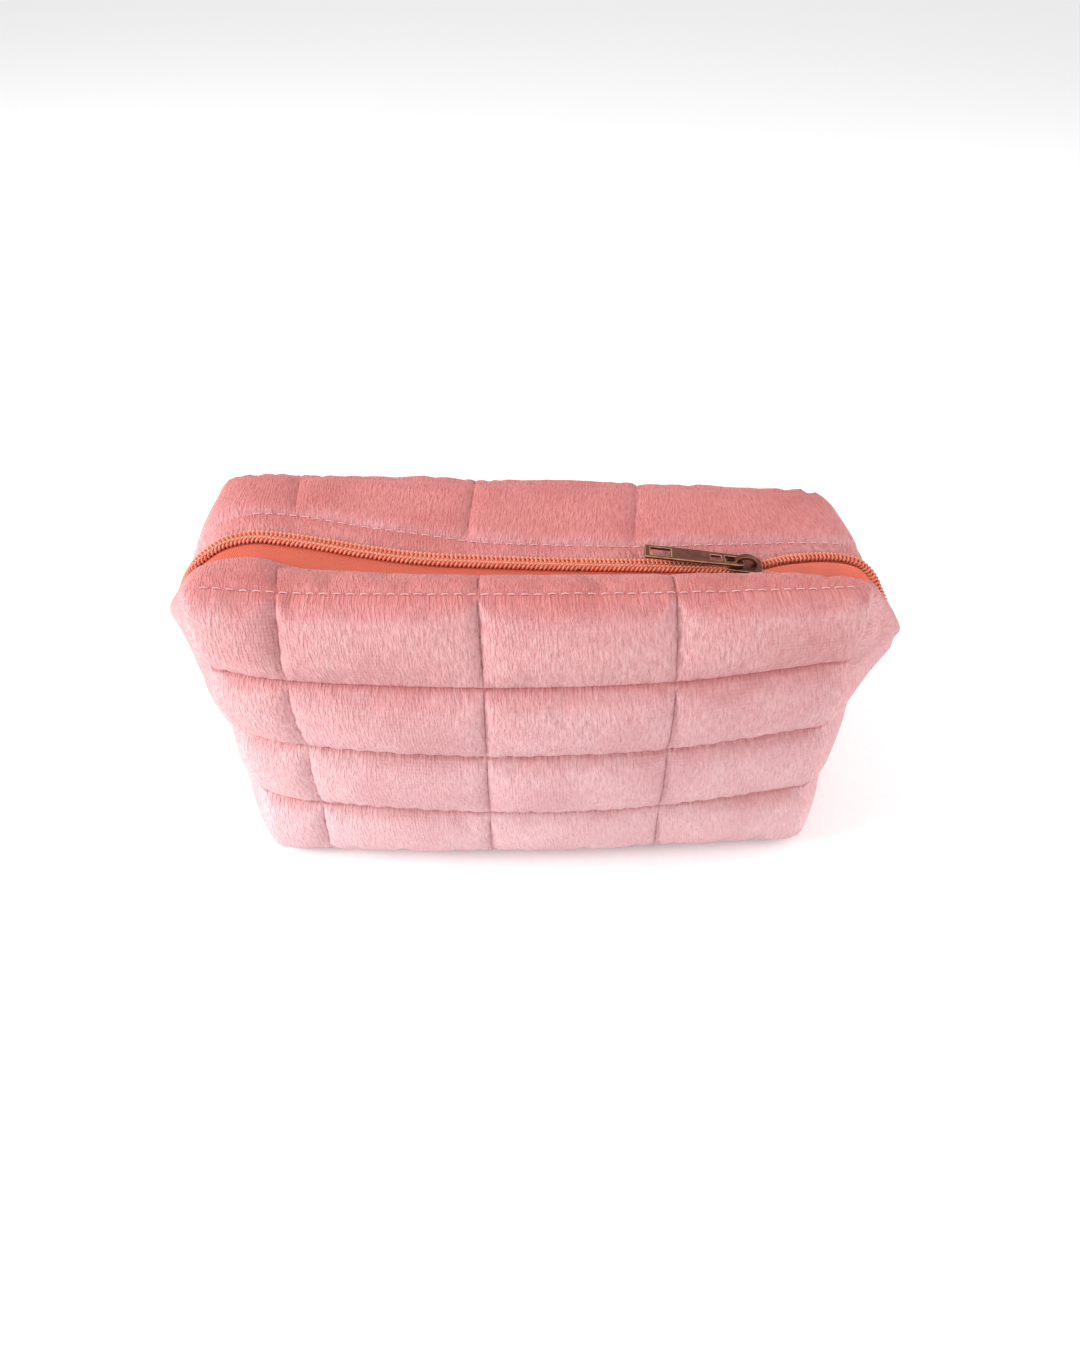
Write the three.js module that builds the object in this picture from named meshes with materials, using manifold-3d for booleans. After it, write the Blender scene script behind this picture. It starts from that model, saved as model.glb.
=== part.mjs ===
// A boxy quilted make-up bag with a zip along its top, in millimetres, +Z up.
// X runs along the zip, the front wall faces -Y, and the origin is on the floor under the middle of the bag.
import * as THREE from "three";
import { mergeVertices } from "three/addons/utils/BufferGeometryUtils.js";
import Module from "manifold-3d";

// --- driving dimensions -------------------------------------------------------------------------
const HEIGHT = 115;            // floor to the front top edge
const HALF_LENGTH_TOP = 101;   // middle to a corner seam, at the top
const HALF_LENGTH_FOOT = 94;   // and at the floor
const HALF_DEPTH = 30;         // middle to a corner seam, front to back
const FOOT_BULGE = 7;          // how far the middle of a long wall stands out at the floor
const TOP_BULGE = 1;           // at the top edge
const BELLY_BULGE = 11.5;      // and more half-way up
const END_SEAM_Z = 80;         // height of the seam across each end, where the zip ends
const END_SEAM_BULGE = 25;     // how far that seam stands out past the corners
const END_FOOT_BULGE = 3;
const END_TOP_BULGE = 6;
const ZIP_SLOPE = 0.056;       // the zip climbs towards the left end, where it is taut
const ZIP_SKEW = 0.05;         // and it runs a little back towards that end
const EDGE_CLIMB = 0.4;        // share of that climb along the long top edges

const GAP = 0.3;               // between neighbouring pieces
const SLACK = 0.8;             // between the layers of a wall
const PLUSH = 3;               // outer plush with its backing
const WADDING = 3;
const LINING = 0.8;
const WALL_TOP = 111;          // where the long outer walls stop, under the top strips

const ZIP_Y = -4;              // the zip's own middle line, half-way along the bag
const ZIP_Z = 109.2;           // and the middle plane of its coils there
const ROW_WIDTH = 2.6;         // one coil row
const ROW_HEIGHT = 2.4;
const TAPE_THICK = 0.7;
const CLOSED_OFFSET = 1.45;    // middle of a row to the zip's own middle line, closed
const OPEN_OFFSET = 4.2;       // and where the zip is open
const ZIP_LEFT = -97;
const ZIP_RIGHT = 99;

const SLIDER_X = 68;           // the slider's middle, with the bag nearly shut
const SLIDER_LENGTH = 11;
const SLIDER_WIDTH = 8.6;
const PLATE = 0.8;             // thickness of each slider plate
const PLATE_INNER = 1.5;       // height of a plate's inner face over the middle plane
const CROWN_HALF = 3.7;        // the slider's bridge: half its length, its height and its wall
const CROWN_HEIGHT = 3;
const CROWN_WALL = 1;
const CROWN_WIDTH = 2;
const PIVOT_X = -1.3;          // the pull's crossbar, inside the end of the bridge over the closed zip
const PIVOT_Z = 3.2;
const PULL_LENGTH = 31;
const PULL_WIDTH = 6.4;
const PULL_THICK = 1;
const PULL_LIFT = 1.5;         // degrees that the pull leans up from the closed zip
const PULL_TURN = 2;           // and that its free end is turned to the back

const FRONT_FOLD = 8;          // from the zip's middle line to the folded edge of the plush in front
const BACK_FOLD = 5;           // and behind
const STRIP_EDGE_Y = 29.3;     // outer edge of the top strips, where they fold on the long walls
const STRIP_EDGE_Z = 115.5;

const plushPink = material(0xe8a3a0, 0.95);
const liningPink = material(0xf0b7a6, 0.9);
const wadding = material(0xf4efe9, 1.0);
const tapeCoral = material(0xf08060, 0.8);
const coilCoral = material(0xf2784e, 0.45);
const threadPink = material(0xf7d3cf, 0.8);
const bindingPink = material(0xe88f7a, 0.9);
const bronze = material(0x6b4a36, 0.38, 0.9);

function material(color, roughness, metalness = 0) {
  return new THREE.MeshStandardMaterial({ color, roughness, metalness });
}

// --- closed solids ------------------------------------------------------------------------------

// A closed slab between two surfaces, each a function of (u, v) from 0 to 1.
function slab(outer, inner, columns, rows) {
  const points = [];
  const faces = [];
  const across = columns + 1;
  for (const surface of [outer, inner]) {
    for (let j = 0; j <= rows; j++) {
      for (let i = 0; i <= columns; i++) points.push(...surface(i / columns, j / rows));
    }
  }
  const top = (i, j) => j * across + i;
  const under = (i, j) => across * (rows + 1) + top(i, j);
  const quad = (a, b, c, d) => faces.push(a, b, c, a, c, d);
  for (let j = 0; j < rows; j++) {
    for (let i = 0; i < columns; i++) {
      quad(top(i, j), top(i + 1, j), top(i + 1, j + 1), top(i, j + 1));
      quad(under(i, j), under(i, j + 1), under(i + 1, j + 1), under(i + 1, j));
    }
    quad(under(0, j), top(0, j), top(0, j + 1), under(0, j + 1));
    quad(top(columns, j), under(columns, j), under(columns, j + 1), top(columns, j + 1));
  }
  for (let i = 0; i < columns; i++) {
    quad(under(i, 0), under(i + 1, 0), top(i + 1, 0), top(i, 0));
    quad(top(i, rows), top(i + 1, rows), under(i + 1, rows), under(i, rows));
  }
  return outwards(points, faces);
}

// A closed solid swept along stations, each a list of the same number of corners.
function sweep(stations) {
  const sides = stations[0].length;
  const last = (stations.length - 1) * sides;
  const faces = [];
  for (let s = 0; s + 1 < stations.length; s++) {
    for (let k = 0; k < sides; k++) {
      const a = s * sides + k;
      const b = s * sides + (k + 1) % sides;
      faces.push(a, b, b + sides, a, b + sides, a + sides);
    }
  }
  for (let k = 1; k + 1 < sides; k++) {
    faces.push(0, k + 1, k, last, last + k, last + k + 1);
  }
  return outwards(stations.flat(2), faces);
}

// The geometry with every face pointing out, whichever way the caller went round it.
function outwards(points, faces) {
  let volume = 0;
  const corner = (i) => new THREE.Vector3(points[3 * i], points[3 * i + 1], points[3 * i + 2]);
  for (let f = 0; f < faces.length; f += 3) {
    volume += corner(faces[f]).dot(corner(faces[f + 1]).cross(corner(faces[f + 2])));
  }
  if (volume < 0) {
    for (let f = 0; f < faces.length; f += 3) {
      [faces[f + 1], faces[f + 2]] = [faces[f + 2], faces[f + 1]];
    }
  }
  const geometry = new THREE.BufferGeometry();
  geometry.setAttribute("position", new THREE.Float32BufferAttribute(points, 3));
  geometry.setIndex(faces);
  geometry.computeVertexNormals();
  return geometry;
}

function node(name, geometry, look) {
  const mesh = new THREE.Mesh(geometry, look);
  mesh.name = name;
  return mesh;
}

const mix = (a, b, t) => a + (b - a) * t;

// --- shape of the bag ---------------------------------------------------------------------------

const cornerX = (z) => mix(HALF_LENGTH_FOOT, HALF_LENGTH_TOP, z / HEIGHT);
const climb = (x) => -ZIP_SLOPE * x;
const zipY = (x) => ZIP_Y - ZIP_SKEW * x;

// Half the depth of the bag at a share u (-1 to 1) of its length.
function halfDepth(u, z) {
  const s = z / HEIGHT;
  const belly = BELLY_BULGE * (1 - Math.abs(2 * s - 1) ** 3);
  return HALF_DEPTH + (mix(FOOT_BULGE, TOP_BULGE, s) + belly) * (1 - u * u);
}

// Half the length of the bag at a depth y: a tent over the end seam, rounded across the depth.
function halfLength(y, z) {
  const ridge = z < END_SEAM_Z
    ? mix(END_FOOT_BULGE, END_SEAM_BULGE, (z / END_SEAM_Z) ** 1.2)
    : mix(END_SEAM_BULGE, END_TOP_BULGE, (z - END_SEAM_Z) / (HEIGHT - END_SEAM_Z));
  return cornerX(z) + ridge * (1 - (y / HALF_DEPTH) ** 2);
}

// Layers of a wall, counted from outside: where each starts and stops under the outer surface.
const LAYERS = {
  plush: [0, PLUSH],
  wadding: [PLUSH + SLACK, PLUSH + SLACK + WADDING],
  lining: [PLUSH + WADDING + 2 * SLACK, PLUSH + WADDING + 2 * SLACK + LINING],
};

// Every layer of a wall bends at the same levels, so that layers stay parallel: only its ends differ.
function level(share, foot, top, lowest, highest) {
  if (share === 0) return foot;
  return share === 1 ? top : mix(lowest, highest, share);
}

const within = (value, limit) => Math.max(-limit, Math.min(limit, value));

// A long wall: side is -1 at the front and 1 at the back.
function longWall(side, layer, foot, top) {
  const [near, far] = LAYERS[layer];
  const at = (depth) => (u, v) => {
    const topHere = top - EDGE_CLIMB * ZIP_SLOPE * (2 * u - 1) * HALF_LENGTH_TOP;
    const z = level(v, foot, topHere, 0, HEIGHT);
    const x = within((2 * u - 1) * cornerX(z), cornerX(z) - near);
    return [x, side * (halfDepth(x / cornerX(z), z) - depth), z];
  };
  return slab(at(near), at(far), 10, 6);
}

// Part of an end wall between two depths: side is -1 at the left and 1 at the right.
function endWall(side, layer, foot, top, fromY, toY, columns, rows) {
  const [near, far] = LAYERS[layer];
  const [lowest, highest] = foot < END_SEAM_Z ? [0, END_SEAM_Z] : [END_SEAM_Z, HEIGHT];
  const at = (depth) => (u, v) => {
    const z = level(v, foot, top, lowest, highest);
    const y = mix(fromY, toY, u);
    return [side * (halfLength(y, z) - depth), y, z];
  };
  return slab(at(near), at(far), columns, rows);
}

// A flat layer of the floor, inset from the bag's outline.
function floorLayer(low, high, inset) {
  const at = (z) => (u, v) => {
    const side = 2 * u - 1;
    const x = side * (HALF_LENGTH_FOOT - inset);
    const y = (2 * v - 1) * (halfDepth(side, 0) - inset);
    return [x + side * END_FOOT_BULGE * (1 - (2 * v - 1) ** 2), y, z];
  };
  return slab(at(high), at(low), 10, 4);
}

function addWalls(group) {
  const lowest = PLUSH + GAP;
  const inner = { wadding: lowest + WADDING + GAP, lining: lowest + WADDING + LINING + 2 * GAP };
  for (const [name, side] of [["front", -1], ["back", 1]]) {
    group.add(node(`${name}_panel`, longWall(side, "plush", lowest, WALL_TOP), plushPink));
    group.add(node(`${name}_wadding`, longWall(side, "wadding", inner.wadding, WALL_TOP - 7), wadding));
    group.add(node(`${name}_lining`, longWall(side, "lining", inner.lining, WALL_TOP - 8), liningPink));
  }
  group.add(node("bottom_panel", floorLayer(0, PLUSH, 0), plushPink));
  group.add(node("bottom_wadding", floorLayer(lowest, lowest + WADDING, 4), wadding));
  group.add(node("bottom_lining",
    floorLayer(inner.wadding, inner.lining - GAP, LAYERS.wadding[1] + GAP), liningPink));
}

// Each end: a lower wall up to the end seam, and two upper pieces on both sides of the zip.
function addEnd(group, name, side) {
  const edge = (layer) => HALF_DEPTH - LAYERS[layer][1] - GAP;
  const lowest = { plush: PLUSH + GAP, wadding: PLUSH + WADDING + 3 * GAP, lining: 9 };
  const looks = { plush: plushPink, wadding, lining: liningPink };
  const names = { plush: "end_panel", wadding: "end_wadding", lining: "end_lining" };
  for (const layer of ["plush", "wadding", "lining"]) {
    const y = edge(layer);
    const geometry = endWall(side, layer, lowest[layer], END_SEAM_Z - GAP, -y, y, 10, 4);
    group.add(node(`${name}_${names[layer]}`, geometry, looks[layer]));
  }
  const middle = zipY(side * HALF_LENGTH_TOP);
  const foot = END_SEAM_Z + GAP;
  for (const [half, way, foldY] of [["front", -1, middle - FRONT_FOLD], ["back", 1, middle + BACK_FOLD]]) {
    const top = WALL_TOP - 3 + climb(side * HALF_LENGTH_TOP) / 2;
    group.add(node(`${name}_upper_${half}_panel`,
      endWall(side, "plush", foot, top, foldY, way * edge("plush"), 5, 3), plushPink));
    group.add(node(`${name}_upper_${half}_lining`,
      endWall(side, "lining", foot, top - 6, foldY, way * edge("lining"), 4, 2), liningPink));
  }
  group.add(node(`${name}_end_binding`, endBinding(side), bindingPink));
}

// The bound edge of the end seam, on the inside.
function endBinding(side) {
  const reach = LAYERS.lining[1] + GAP;
  const width = 8;
  const stations = [];
  const steps = 8;
  for (let i = 0; i <= steps; i++) {
    const y = mix(-1, 1, i / steps) * (HALF_DEPTH - reach - 1);
    const x = halfLength(y, END_SEAM_Z) - reach - 3;
    const corners = [[0, -1], [-width, -1], [-width, 1], [0, 1]];
    stations.push(corners.map(([dx, dz]) => [side * (x + dx), y, END_SEAM_Z + dz]));
  }
  return sweep(stations);
}

// --- top strips and the zip ---------------------------------------------------------------------

// A strip running along X. Its cross-section gives each corner's y, z and share of the zip's climb.
function along(fromX, toX, steps, section) {
  const stations = [];
  for (let i = 0; i <= steps; i++) {
    const x = mix(fromX, toX, i / steps);
    stations.push(section(x).map(([y, z, share = 1]) => [x, y, z + share * climb(x)]));
  }
  return sweep(stations);
}

// The plush from a long top edge to the fold beside the zip: side is -1 in front and 1 behind.
function topStrip(side, thick) {
  return (x) => {
    const edge = side * (STRIP_EDGE_Y - (x / 100) ** 2 * 3.5);
    const fold = zipY(x) + (side < 0 ? -FRONT_FOLD : BACK_FOLD);
    const foldZ = ZIP_Z + 1.2;
    return [[edge, STRIP_EDGE_Z - thick, EDGE_CLIMB], [fold, foldZ], [fold, foldZ + thick],
      [edge, STRIP_EDGE_Z, EDGE_CLIMB]];
  };
}

// Wadding under a top strip, clear of the zip tape.
function topWadding(side) {
  const strip = topStrip(side, PLUSH);
  return (x) => {
    const [outer, inner] = strip(x).map(([y, z, share = 1]) => [y, z, share]);
    const at = (share, drop) => outer.map((value, k) => mix(value, inner[k], share) - (k === 1 ? drop : 0));
    const reach = side < 0 ? 0.42 : 0.6;
    return [at(0.08, GAP), at(reach, GAP), at(reach, GAP + 2.4), at(0.08, GAP + 2.4)];
  };
}

// Half the gap between the two coil rows' middle lines.
function rowOffset(x) {
  const opening = Math.min(1, Math.max(0, (x - SLIDER_X + SLIDER_LENGTH / 3) / SLIDER_LENGTH));
  return mix(CLOSED_OFFSET, OPEN_OFFSET, opening * opening * (3 - 2 * opening));
}

function coilRow(side) {
  return (x) => {
    const y = zipY(x) + side * rowOffset(x);
    const a = ROW_WIDTH / 2;
    const b = ROW_HEIGHT / 2;
    const round = 0.5;
    return [[y - a, ZIP_Z - b + round], [y - a + round, ZIP_Z - b], [y + a - round, ZIP_Z - b],
      [y + a, ZIP_Z - b + round], [y + a, ZIP_Z + b - round], [y + a - round, ZIP_Z + b],
      [y - a + round, ZIP_Z + b], [y - a, ZIP_Z + b - round]];
  };
}

// The woven tape from the coil row to under the plush.
function zipTape(side) {
  const reach = side < 0 ? FRONT_FOLD + 6 : BACK_FOLD + 6;
  return (x) => {
    const inner = zipY(x) + side * (rowOffset(x) + ROW_WIDTH / 2 + GAP);
    const outer = zipY(x) + side * reach;
    const low = ZIP_Z - TAPE_THICK / 2;
    return [[inner, low], [outer, low], [outer, low + TAPE_THICK], [inner, low + TAPE_THICK]];
  };
}

// A line of stitching that lies on a strip's upper face, at a share of its width.
function stitchOn(strip, share) {
  const half = 0.35;
  return (x) => {
    const [near, far] = strip(x).slice(2).map(([y, z, climbShare = 1]) => [y, z, climbShare]);
    const [y, z, climbShare] = near.map((value, k) => mix(value, far[k], share));
    const low = z + GAP + half;
    return [[y - half, low, climbShare], [y + half, low, climbShare],
      [y + half, low + 2 * half, climbShare], [y - half, low + 2 * half, climbShare]];
  };
}

function addTop(group) {
  const reach = [ZIP_LEFT, ZIP_RIGHT];
  for (const [name, side, stitch] of [["front", -1, 0.9], ["back", 1, 0.2]]) {
    const strip = topStrip(side, PLUSH);
    group.add(node(`${name}_top_strip`, along(...reach, 16, strip), plushPink));
    group.add(node(`${name}_top_wadding`, along(...reach, 16, topWadding(side)), wadding));
    group.add(node(`${name}_topstitch`, along(...reach, 16, stitchOn(strip, stitch)), threadPink));
    group.add(node(`${name}_zip_tape`, along(...reach, 40, zipTape(side)), tapeCoral));
    group.add(node(`${name}_zip_coil`, along(...reach, 40, coilRow(side)), coilCoral));
  }
}

// A length of zip that turns over the end of the bag and runs down to the end seam,
// between two depths.
function zipEnd(side, fromY, toY) {
  const steps = 7;
  const stations = [];
  const lift = climb(side < 0 ? ZIP_LEFT : ZIP_RIGHT);
  const thick = 1.4;
  for (let i = 0; i <= steps; i++) {
    const t = i / steps;
    const turn = Math.min(1, t * 2.2) * Math.PI / 3.2;
    const startX = side < 0 ? -ZIP_LEFT : ZIP_RIGHT;
    const z = mix(ZIP_Z + lift + 0.4, END_SEAM_Z + 2.5, t ** 1.5);
    const skin = halfLength((fromY + toY) / 2, Math.min(z, HEIGHT)) + 0.2;
    const x = Math.max(startX + GAP + 2 * t, Math.min(skin, startX + GAP + 40 * t));
    const nx = Math.sin(turn) * thick;
    const nz = Math.cos(turn) * thick;
    stations.push([[side * x, fromY, z], [side * x, toY, z],
      [side * (x - nx), toY, z - nz], [side * (x - nx), fromY, z - nz]]);
  }
  return sweep(stations);
}

function addZipEnds(group) {
  const innerEdge = OPEN_OFFSET - ROW_WIDTH / 2;
  const frontEdge = FRONT_FOLD - 1;
  const backEdge = BACK_FOLD - GAP;
  const left = zipY(-HALF_LENGTH_TOP);
  const right = zipY(HALF_LENGTH_TOP);
  group.add(node("left_zip_end", zipEnd(-1, left - frontEdge, left + backEdge), tapeCoral));
  group.add(node("right_zip_end_front", zipEnd(1, right - frontEdge, right - innerEdge), tapeCoral));
  group.add(node("right_zip_end_back", zipEnd(1, right + innerEdge, right + backEdge), tapeCoral));
}

// --- slider and pull ----------------------------------------------------------------------------

function asSolid(geometry) {
  const bare = geometry.clone();
  bare.deleteAttribute("normal");
  bare.deleteAttribute("uv");
  const merged = mergeVertices(bare, 1e-4);
  return new wasm.Manifold(new wasm.Mesh({
    numProp: 3,
    vertProperties: new Float32Array(merged.attributes.position.array),
    triVerts: new Uint32Array(merged.index.array),
  }));
}

function asGeometry(solid) {
  const mesh = solid.getMesh();
  const geometry = new THREE.BufferGeometry();
  geometry.setAttribute("position", new THREE.BufferAttribute(mesh.vertProperties, 3));
  geometry.setIndex(new THREE.BufferAttribute(mesh.triVerts, 1));
  geometry.computeVertexNormals();
  return geometry;
}

// A flat outline as long as the slider, narrower at the end that faces the closed zip.
function plateOutline() {
  const half = SLIDER_LENGTH / 2;
  const wide = SLIDER_WIDTH / 2;
  const shape = new THREE.Shape();
  shape.moveTo(-half, -wide * 0.8);
  shape.lineTo(half - 3, -wide);
  shape.quadraticCurveTo(half, -wide, half, -wide * 0.4);
  shape.lineTo(half, wide * 0.4);
  shape.quadraticCurveTo(half, wide, half - 3, wide);
  shape.lineTo(-half, wide * 0.8);
  return shape;
}

// Two plates joined by the wedge that parts the coil rows.
function sliderBody() {
  const solid = { depth: PLATE, bevelEnabled: false, curveSegments: 4 };
  const plate = new THREE.ExtrudeGeometry(plateOutline(), solid);
  const upper = plate.clone().translate(0, 0, PLATE_INNER);
  const lower = plate.clone().translate(0, 0, -PLATE_INNER - PLATE);
  const wedge = new THREE.BoxGeometry(2.4, 1.6, 2 * PLATE_INNER + PLATE);
  wedge.translate(SLIDER_LENGTH / 2 - 1.6, 0, 0);
  return asGeometry(asSolid(upper).add(asSolid(wedge)).add(asSolid(lower)));
}

// The rounded bridge over the slider that the pull hangs on.
function sliderCrown() {
  const halfInside = CROWN_HALF - CROWN_WALL;
  const heightInside = CROWN_HEIGHT - CROWN_WALL;
  const shape = new THREE.Shape();
  shape.moveTo(CROWN_HALF, 0);
  shape.absellipse(0, 0, CROWN_HALF, CROWN_HEIGHT, 0, Math.PI, false);
  shape.lineTo(-halfInside, 0);
  shape.absellipse(0, 0, halfInside, heightInside, Math.PI, 0, true);
  const solid = { depth: CROWN_WIDTH, bevelEnabled: false, curveSegments: 9 };
  const geometry = new THREE.ExtrudeGeometry(shape, solid);
  geometry.rotateX(Math.PI / 2);
  geometry.translate(0, CROWN_WIDTH / 2, PLATE_INNER + PLATE + GAP);
  return geometry;
}

function window(fromX, toX, halfWidth) {
  const hole = new THREE.Path();
  hole.moveTo(fromX, -halfWidth);
  hole.lineTo(fromX, halfWidth);
  hole.lineTo(toX, halfWidth);
  hole.lineTo(toX, -halfWidth);
  return hole;
}

// The flat pull, reaching from its crossbar at x = 0 to its free end at -X.
function pullTab() {
  const bar = 0.5;
  const half = PULL_WIDTH / 2;
  const shape = new THREE.Shape();
  shape.moveTo(bar, -half + 0.8);
  shape.lineTo(bar, half - 0.8);
  shape.lineTo(-1, half - 0.3);
  shape.lineTo(-6, half - 0.3);
  shape.lineTo(-11, half);
  shape.lineTo(-PULL_LENGTH, half);
  shape.lineTo(-PULL_LENGTH, -half);
  shape.lineTo(-11, -half);
  shape.lineTo(-6, -half + 0.3);
  shape.lineTo(-1, -half + 0.3);
  shape.holes.push(window(-5.4, -bar, CROWN_WIDTH / 2 + 0.5));
  shape.holes.push(window(-10, -6.6, 1.4));
  shape.holes.push(window(-PULL_LENGTH + 8.4, -PULL_LENGTH + 1.7, 2.1));
  const geometry = new THREE.ExtrudeGeometry(shape, { depth: PULL_THICK, bevelEnabled: false });
  geometry.translate(0, 0, -PULL_THICK / 2);
  return geometry;
}

function addSlider(group) {
  const slider = new THREE.Group();
  slider.position.set(SLIDER_X, zipY(SLIDER_X), ZIP_Z + climb(SLIDER_X));
  slider.rotation.y = Math.atan(ZIP_SLOPE);
  slider.rotation.z = -Math.atan(ZIP_SKEW);
  slider.add(node("slider_body", sliderBody(), bronze));
  slider.add(node("slider_crown", sliderCrown(), bronze));
  const pull = node("pull_tab", pullTab(), bronze);
  pull.position.set(PIVOT_X, 0, PIVOT_Z);
  pull.rotation.order = "ZYX";
  pull.rotation.z = -THREE.MathUtils.degToRad(PULL_TURN);
  pull.rotation.y = THREE.MathUtils.degToRad(PULL_LIFT);
  slider.add(pull);
  group.add(slider);
}

const wasm = await Module();
wasm.setup();

const bag = new THREE.Group();
addWalls(bag);
addEnd(bag, "left", -1);
addEnd(bag, "right", 1);
addTop(bag);
addZipEnds(bag);
addSlider(bag);
export default bag;
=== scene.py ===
"""A quilted plush makeup bag with a zip along its top, dressed around its CAD frame.

Shapes are worked out in millimetres and made in metres. X runs along the bag, the front
faces -Y, and Z is up. The outer fabric is one welded net of quilted cells, which is then
cut into the pieces that ride on the bag and the pieces of its two lips.
"""

import math

import bpy
import numpy as np
from mathutils import Matrix, Vector, noise


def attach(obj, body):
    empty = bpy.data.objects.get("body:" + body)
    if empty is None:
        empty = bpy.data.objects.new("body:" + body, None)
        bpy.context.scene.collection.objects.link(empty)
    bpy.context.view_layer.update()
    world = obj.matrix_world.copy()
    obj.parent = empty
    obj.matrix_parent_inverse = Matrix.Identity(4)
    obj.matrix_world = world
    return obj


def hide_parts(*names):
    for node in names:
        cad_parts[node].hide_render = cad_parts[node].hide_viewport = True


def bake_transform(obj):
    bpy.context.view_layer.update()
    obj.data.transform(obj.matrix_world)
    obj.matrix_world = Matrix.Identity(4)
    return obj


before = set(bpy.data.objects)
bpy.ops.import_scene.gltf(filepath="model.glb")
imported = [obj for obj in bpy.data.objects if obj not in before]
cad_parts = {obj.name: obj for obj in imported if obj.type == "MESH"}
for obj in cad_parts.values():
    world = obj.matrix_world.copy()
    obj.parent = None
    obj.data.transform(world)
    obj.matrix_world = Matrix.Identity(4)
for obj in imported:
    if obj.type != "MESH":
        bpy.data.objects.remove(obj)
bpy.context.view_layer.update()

MM = 0.001

# --- sizes --------------------------------------------------------------------------------------

# The front wall's quilting crossings from the foot up, each row from the left end to the right.
# The back wall mirrors them, with a top row of its own.
FRONT_NET = np.array([
    [(-92.5, -36, 2.5), (-73, -37.2, 2.5), (-14.7, -38.2, 2.5), (45, -37.2, 2.5), (98.5, -36.6, 2.5)],
    [(-94.5, -29.8, 28.5), (-73, -36, 28.5), (-14.8, -42, 28.5), (44, -40.5, 28.5), (98.2, -32, 28.5)],
    [(-95.5, -29.5, 59), (-73, -37.5, 59), (-14.8, -43.5, 59), (43.6, -41.5, 59), (97.6, -32, 59)],
    [(-98, -32, 89), (-74, -38.5, 89), (-14.8, -43, 89), (43, -41.5, 89), (98.5, -32.5, 89)],
    [(-101, -27.5, 116), (-74, -29.8, 115.2), (-16, -31, 114.6), (42, -30.6, 114.2), (101, -27, 113)],
], float)
BACK_TOP = np.array(
    [(-100.5, 30.5, 117.4), (-76.5, 31, 117), (-18.2, 28.8, 115), (36.5, 27.6, 113.6), (100.8, 26.7, 111.2)],
    float)

# How many samples the fabric has over its cells.
CELL_STEPS = 18                # up each row
COLUMN_STEPS = (16, 26, 26, 26)
FRONT_STEPS = 16               # across the front strip
BACK_STEPS = 20                # across the rear strip
BAND_STEPS = 5                 # of those, between its stitch line and the fold
RIDGE_ROW = 2.7                # how far up the rows the end seams start from the walls' corners

# The middle line of each end, from the foot up to the ear, where the zip ends in the end seam.
LEFT_EAR = (-121, 8, 81.5)
RIGHT_EAR = (123.6, -8, 81)
LEFT_END = np.array([(-95.5, 0, 2.5), (-105.5, 1, 28.5), (-105, 2, 59.5), LEFT_EAR], float)
RIGHT_END = np.array([(97.5, 0, 2.5), (108.4, -2, 28.5), (110.8, -4, 59.5), RIGHT_EAR], float)

# Lines along the top, from left to right: the front and rear fold edges, the rear stitch line, the
# shut chain, and the two rows of coil where they are apart.
FRONT_FOLD = np.array([
    (-105.5, -2.7, 106), (-95, -4.7, 110.5), (-85.5, -6.6, 112.6), (-78, -9.6, 112.8), (-70, -12.8, 112.6),
    (-54, -13.8, 112), (-34, -15, 111.5), (-16, -15, 111), (21, -15, 110.6), (74, -14.3, 109.8),
    (84, -14.7, 109.4), (93, -15.6, 108.7), (106, -14.9, 106.8)], float)
CHAIN = np.array([
    (-121.2, 8, 81.4), (-116, 5, 90.6), (-111.4, 1.4, 98.8), (-106.5, -1.6, 105.6), (-98, 0.2, 111.4),
    (-91, 1.1, 113.4), (-84.5, 0.9, 114), (-70, -0.5, 112.8),
    (-54, -2.8, 111), (-35, -5.6, 109.8), (-16, -6.5, 109), (9, -6.8, 107.9), (34, -7, 107.2),
    (54, -7, 106.4), (68, -7.3, 105.5)], float)
BACK_FOLD = np.array([
    (-106, 2.2, 105.6), (-98, 3.6, 111.2), (-91, 4.5, 113.3), (-84.5, 4.3, 114), (-70, 2.9, 112.8),
    (-54, 0.4, 111), (-35, -2.5, 109.8), (-16, -3.4, 109), (9, -3.5, 108.2), (34, -3.7, 107.8),
    (54, -3.6, 107.2), (68, -2.8, 106.9), (78, -0.8, 106.8), (87.5, 1.0, 106.5), (95, 2.1, 105.8),
    (102, 2.6, 104.8), (109, 2.4, 102.2)], float)
BACK_STITCH = np.array([
    (-108, 7.5, 105.6), (-100, 9.8, 111.4), (-91, 11, 115), (-75, 10.6, 114.6), (-56, 7.8, 112.5),
    (-36, 5.4, 110.6), (-16, 2.6, 109.2), (4, 1.6, 108.6), (30, 0.8, 108.2), (55, 1.2, 108.2),
    (78, 2.4, 107.8), (92, 3.9, 106.8), (102.5, 5.2, 105.2), (108, 5.4, 103)], float)
BACK_ROW = np.array([
    (68, -6.1, 105.5), (75, -4.9, 105.6), (81, -3, 105.7), (87.5, -1.8, 105.7), (95, -0.6, 105.2),
    (102, 0, 104.2), (107, -0.2, 102.8), (110.2, -0.8, 100.8), (113.4, -2, 97.6), (115.8, -3.6, 93.6),
    (118.8, -5.4, 88.4), (123, -7.6, 81)], float)
FRONT_ROW = np.array([
    (68, -8.5, 105.5), (74, -9.4, 105.2), (81, -10.4, 104.6), (90, -11, 103.6), (100, -10.4, 101.8),
    (108, -8.8, 98.6), (113, -7.4, 94.6), (117, -7, 89.4), (123, -8, 81)], float)

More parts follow.
